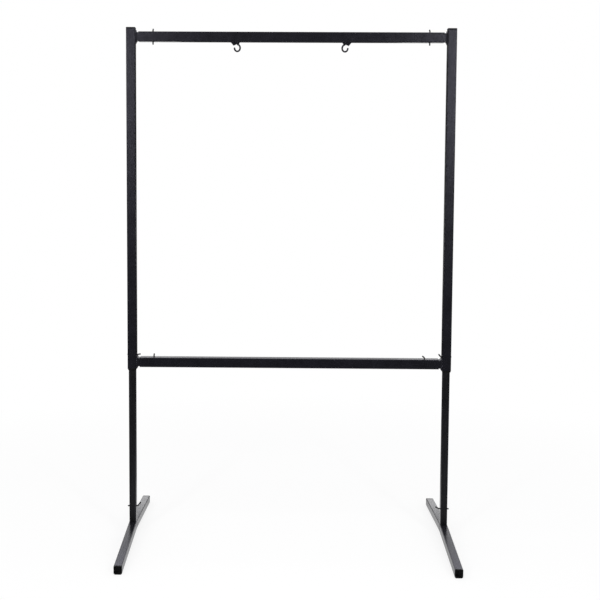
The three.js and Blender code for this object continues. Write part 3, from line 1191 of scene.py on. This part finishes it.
@dataclass
class LockingPin:
    """A bent pin: its shank goes through the tubes, and its handle leans over beside them."""

    kind: PinKind
    side: Side
    lean: float  # degrees about the pin: 0 is away from the post, or up, and 90 is towards the back
    rod: float = 2.5  # its radius
    sides: int = 24
    exit: float = 1.5  # straight run between the tube and the bend
    bend_radius: float = 5
    bend: float = 50
    bend_steps: int = 12
    tips: Pairs = ((0, 0.55), (0.35, 0.8), (0.9, 0.95), (1.7, 1))  # run from an end, share of the rod there

    def shape(self, shank: float, handle: float) -> BMesh:
        """Bends the rod, both ends rounded.

        Args:
            shank: Its straight length below the XY plane.
            handle: Its straight length past the bend.

        Returns:
            The pin, its handle leaning towards +X.
        """
        straight = [(run - shank, size) for run, size in self.tips] + [(0.0, 1.0), (self.exit, 1.0)]
        stops = [shift(z=run) @ stretched(size, size) for run, size in straight]
        for i in range(1, self.bend_steps + 1):
            turned = math.radians(self.bend) * i / self.bend_steps
            x, z = self.bend_radius * (1 - math.cos(turned)), self.bend_radius * math.sin(turned)
            stops.append(shift(x=x, z=self.exit + z) @ Matrix.Rotation(turned, 4, "Y"))
        bent = stops[-1]
        stops += [bent @ shift(z=handle - run) @ stretched(size, size) for run, size in reversed(self.tips)]
        return swept(disc(self.rod, self.sides), stops)

    def seat(self) -> tuple[list[Matrix], BlackenedRod]:
        """Finds where the pin goes.

        Returns:
            The moves that take it to its tube, on the right, and its finish.
        """
        lean = self.side.across * math.radians(self.lean)
        if self.kind in (PinKind.TOP_BAR, PinKind.LOWER_BAR):
            bar = SIZES.top_bar if self.kind is PinKind.TOP_BAR else SIZES.lower_bar
            at = shift(x=-SIZES.post_size / 2 - SIZES.bar_pin, z=bar + SIZES.bar_size / 2)
            return [Matrix.Rotation(math.pi - lean, 4, "Z"), at], UPRIGHT_ROD
        tube, height = SIZES.leg_size, SIZES.foot_pin
        if self.kind is PinKind.HEIGHT:
            tube, height = SIZES.post_size, SIZES.height_pin
        return [Matrix.Rotation(lean, 4, "Z"), ACROSS_X, shift(x=-tube / 2, z=height)], CROSS_ROD

    def build(self) -> None:
        """Builds and dresses the pin."""
        kind, shank, handle = self.kind.value
        name = self.side.value
        steps, finish = self.seat()
        moves, node = (*steps, *SIZES.on_side(self.side)), f"{kind}_{name}"
        fit(f"{kind}_rod_{name}", [self.shape(shank, handle)], moves, finish, node, [node])


# Studio, in metres

STRIPS = ("strip_left", "strip_right")


@dataclass
class Softbox:
    """A soft lamp, aimed at the stand's middle."""

    name: str
    azimuth: float  # degrees, 0 in front, positive to the right
    elevation: float
    distance: float
    wide: float
    tall: float
    share: float  # of plain light that it gives a surface facing it
    colour: str = "ffffff"
    in_gloss: bool = True  # whether the coat mirrors it
    aim: tuple[float, float, float] = (0, 0, 0.95)

    def build(self) -> None:
        """Hangs the lamp. An area lamp of power P gives a surface facing it P / (pi * distance**2), and plain
        white surroundings give it pi.
        """
        lamp = bpy.data.lights.new(self.name, "AREA")
        lamp.shape = "RECTANGLE"
        lamp.size, lamp.size_y = self.wide, self.tall
        lamp.energy = self.share * math.pi**2 * self.distance**2
        lamp.color = linear(self.colour)[:3]
        at, up = math.radians(self.azimuth), math.radians(self.elevation)
        way = Vector((math.sin(at) * math.cos(up), -math.cos(at) * math.cos(up), math.sin(up)))
        made = bpy.data.objects.new(self.name, lamp)
        made.location = Vector(self.aim) + way * self.distance
        made.rotation_euler = way.to_track_quat("Z", "Y").to_euler()
        made.visible_camera = False
        made.visible_glossy = self.in_gloss
        bpy.context.scene.collection.objects.link(made)


@dataclass
class Viewpoint:
    """Where the photograph was taken from and its lens, as fitted to the edges of the stand's tubes."""

    place: tuple[float, float, float] = (-0.0150, -3.9053, 1.4020)
    yaw: float = -0.01431  # radians, to the right
    pitch: float = 0.07974  # downwards
    roll: float = 0.005286
    sensor: float = 36
    lens: float = 65.667
    across: float = 0.05  # how far the picture's middle lies off the lens's, as a share of its width
    up: float = -0.10

    def build(self) -> None:
        """Sets up the camera."""
        yaw, pitch, roll = self.yaw, self.pitch, self.roll
        ahead = Vector((math.sin(yaw) * math.cos(pitch), math.cos(yaw) * math.cos(pitch), -math.sin(pitch)))
        right = Vector((math.cos(yaw), -math.sin(yaw), 0))
        above = right.cross(ahead)
        x = right * math.cos(roll) + above * math.sin(roll)
        y = -right * math.sin(roll) + above * math.cos(roll)
        lens = bpy.data.cameras.new("camera")
        lens.sensor_width, lens.lens = self.sensor, self.lens
        lens.shift_x, lens.shift_y = self.across, self.up
        camera = bpy.data.objects.new("camera", lens)
        turn = Matrix((x, y, -ahead)).transposed().to_4x4()
        camera.matrix_world = Matrix.Translation(self.place) @ turn
        bpy.context.scene.collection.objects.link(camera)
        bpy.context.scene.camera = camera


@dataclass
class Studio:
    """A plain pale floor, a white surround and soft lamps.

    The surround and the floor look white, but most of them is dark in the coat's gloss, because the real
    stand mirrors a bright floor between its feet, a bright back wall, and little else.
    """

    floor_size: float = 14
    floor_colour: str = "fafafa"
    shadows: tuple[float, float] = (0.8, 2.4)  # how far out they start to fade, and are gone
    shadow_share: float = 0.8  # how white the floor is in any shadow before that
    mirrored: tuple[float, float] = (0.6, 0.9)  # where the bright floor in the gloss ends, from the middle
    mirrored_across: tuple[float, float] = (0.54, 0.62)  # and sideways
    room: float = 0.5  # how much light the room itself gives
    dark: float = 0.04  # how bright what is dark in the gloss is
    wall_foot: tuple[float, float] = (0.12, 0.155)  # where the bright back wall starts, in a direction's Z
    wall_side: tuple[float, float] = (-0.35, 0.05)  # where it ends sideways, in a direction's Y
    ceiling: tuple[float, float] = (0.3, 0.45)  # where the ceiling in front starts, in a direction's Z
    ceiling_share: float = 0.5  # how bright it is

    def seen(self, tree: NodeTree) -> NodeSocket:
        """Tells what looks straight at a surface, or at it in metal or glass, from what it lights.

        Args:
            tree: The node tree.

        Returns:
            1 where it is looked at.
        """
        path = add_node(tree, "LightPath")
        first = path["Is Camera Ray"]
        for ray in ("Is Glossy Ray", "Is Transmission Ray"):
            first = add_node(tree, "Math", LARGER, links={0: first, 1: path[ray]})[0]
        return first

    def floor(self) -> None:
        """Lays the floor: white to look at, with the stand's soft shadow, and open from below."""
        bm = bmesh.new()
        bmesh.ops.create_grid(bm, x_segments=1, y_segments=1, size=self.floor_size / 2)
        floor = plain_object("floor", [bm])
        material, tree, place = empty_material("floor")
        away = add_node(tree, "VectorMath", {"operation": "LENGTH"}, links={0: place})["Value"]
        values = ramp(*self.shadows, self.shadow_share)
        plain = add_node(tree, "MapRange", values=values, links={"Value": away})[0]
        share = add_node(tree, "Math", TIMES, links={0: plain, 1: self.seen(tree)})[0]
        across = add_node(tree, "SeparateXYZ", links={"Vector": place})["X"]
        across = add_node(tree, "Math", {"operation": "ABSOLUTE"}, links={0: across})[0]
        far = add_node(tree, "MapRange", SOFTLY, ramp(*self.mirrored), {"Value": away})[0]
        beside = add_node(tree, "MapRange", SOFTLY, ramp(*self.mirrored_across), {"Value": across})[0]
        far = add_node(tree, "Math", LARGER, links={0: far, 1: beside})[0]
        gloss = add_node(tree, "LightPath")["Is Glossy Ray"]
        far = add_node(tree, "Math", TIMES, links={0: far, 1: gloss})[0]
        glow = add_node(tree, "MapRange", values=ramp(0, 1, 1, self.dark), links={"Value": far})[0]
        white = add_node(tree, "Emission", links={"Strength": glow})[0]
        matt = add_node(tree, "BsdfDiffuse", values={"Color": linear(self.floor_colour)})[0]
        lit = add_node(tree, "MixShader", links={0: share, 1: matt, 2: white})[0]
        below = add_node(tree, "NewGeometry")["Backfacing"]
        clear = add_node(tree, "BsdfTransparent")[0]
        surface = add_node(tree, "MixShader", links={0: below, 1: lit, 2: clear})[0]
        add_node(tree, "OutputMaterial", links={"Surface": surface})
        floor.data.materials.append(material)

    def world(self) -> None:
        """Lights the room: white to look at, dimmer on the stand, and dark in its gloss but for the back wall
        and some ceiling in front.
        """
        world = bpy.data.worlds.new("studio")
        bpy.context.scene.world = world
        world.use_nodes = True
        tree = world.node_tree
        tree.nodes.clear()
        seen = self.seen(tree)
        plain = add_node(tree, "MapRange", values=ramp(0, 1, self.room), links={"Value": seen})[0]
        way = add_node(tree, "TexCoord")["Generated"]
        parts = add_node(tree, "SeparateXYZ", links={"Vector": way})
        above = add_node(tree, "MapRange", SOFTLY, ramp(*self.wall_foot), {"Value": parts["Z"]})[0]
        behind = add_node(tree, "MapRange", SOFTLY, ramp(*self.wall_side), {"Value": parts["Y"]})[0]
        wall = add_node(tree, "Math", TIMES, links={0: above, 1: behind})[0]
        high = ramp(*self.ceiling, last=self.ceiling_share)
        ceiling = add_node(tree, "MapRange", SOFTLY, high, {"Value": parts["Z"]})[0]
        lit = add_node(tree, "Math", LARGER, links={0: wall, 1: ceiling})[0]
        dim = add_node(tree, "MapRange", values=ramp(0, 1, self.dark - 1, 0), links={"Value": lit})[0]
        gloss = add_node(tree, "LightPath")["Is Glossy Ray"]
        drop = add_node(tree, "Math", TIMES, links={0: gloss, 1: dim})[0]
        strength = add_node(tree, "Math", {"operation": "ADD"}, links={0: plain, 1: drop})[0]
        white = {"Color": (1, 1, 1, 1)}
        sky = add_node(tree, "Background", values=white, links={"Strength": strength})[0]
        add_node(tree, "OutputWorld", links={"Surface": sky})

    def lamps(self) -> None:
        """Hangs the lamps.

        The two narrow strips beside the camera make the light that fades down the posts and in from the ends
        of the bars. Those behind light the tops and backs of the feet. The front and the overhead lamp only
        fill: in the gloss they would draw pale lines along every rounded corner.
        """
        strip, rear = {"distance": 4.5, "wide": 0.3, "tall": 1.4}, {"distance": 4.5, "wide": 1.0, "tall": 0.7}
        left, right = STRIPS
        for lamp in (
            Softbox(left, -24.5, 13.4, share=0.195, **strip),
            Softbox(right, 24, 13.4, share=0.215, **strip),
            Softbox("front", 0, 52, distance=4, wide=3, tall=1.8, share=0.4, in_gloss=False),
            Softbox("behind_left", 197, -2, share=0.02, **rear),
            Softbox("behind_right", 163, -2, share=0.02, **rear),
            Softbox("behind", 180, 25, distance=4.3, wide=3.2, tall=0.4, share=0.075, colour="ebe8ff"),
            Softbox("overhead", 180, 80, distance=3.4, wide=2.6, tall=2, share=0.25, in_gloss=False),
        ):
            lamp.build()

    def shade(self, pieces: Sequence[Object]) -> None:
        """Keeps the strips off some pieces, as a photographer's flags do.

        Args:
            pieces: What the strips would glare in, seen from behind.
        """
        shaded = bpy.data.collections.new("shaded_from_strips")
        for piece in pieces:
            shaded.objects.link(piece)
        for member in shaded.collection_objects:
            member.light_linking.link_state = "EXCLUDE"
        for name in STRIPS:
            bpy.data.objects[name].light_linking.receiver_collection = shaded

    def build(self) -> None:
        """Sets up the studio."""
        bpy.context.scene.view_settings.view_transform = "Standard"
        Viewpoint().build()
        self.floor()
        self.world()
        self.lamps()
        log.info("studio set")


def main() -> None:
    """Builds the studio and the stand, piece by piece."""
    logging.basicConfig(level=logging.INFO, format="%(name)s: %(message)s")
    studio = Studio()
    studio.build()
    feet = []
    for side in Side:
        feet += Foot(side).build()
        Leg(side).build()
        Post(side).build()
        GongHook(side).build()
    studio.shade(feet)
    Crossbar("top_bar", SIZES.top_bar).build()
    Crossbar("lower_bar", SIZES.lower_bar).build()
    leans = {
        PinKind.TOP_BAR: {Side.LEFT: 90, Side.RIGHT: 90},
        PinKind.LOWER_BAR: {Side.LEFT: 90, Side.RIGHT: 10},
        PinKind.HEIGHT: {Side.LEFT: 90, Side.RIGHT: 0},
        PinKind.FOOT: {Side.LEFT: 25, Side.RIGHT: 80},
    }
    for kind, by_side in leans.items():
        for side, lean in by_side.items():
            LockingPin(kind, side, lean).build()


if __name__ == "__main__":
    main()
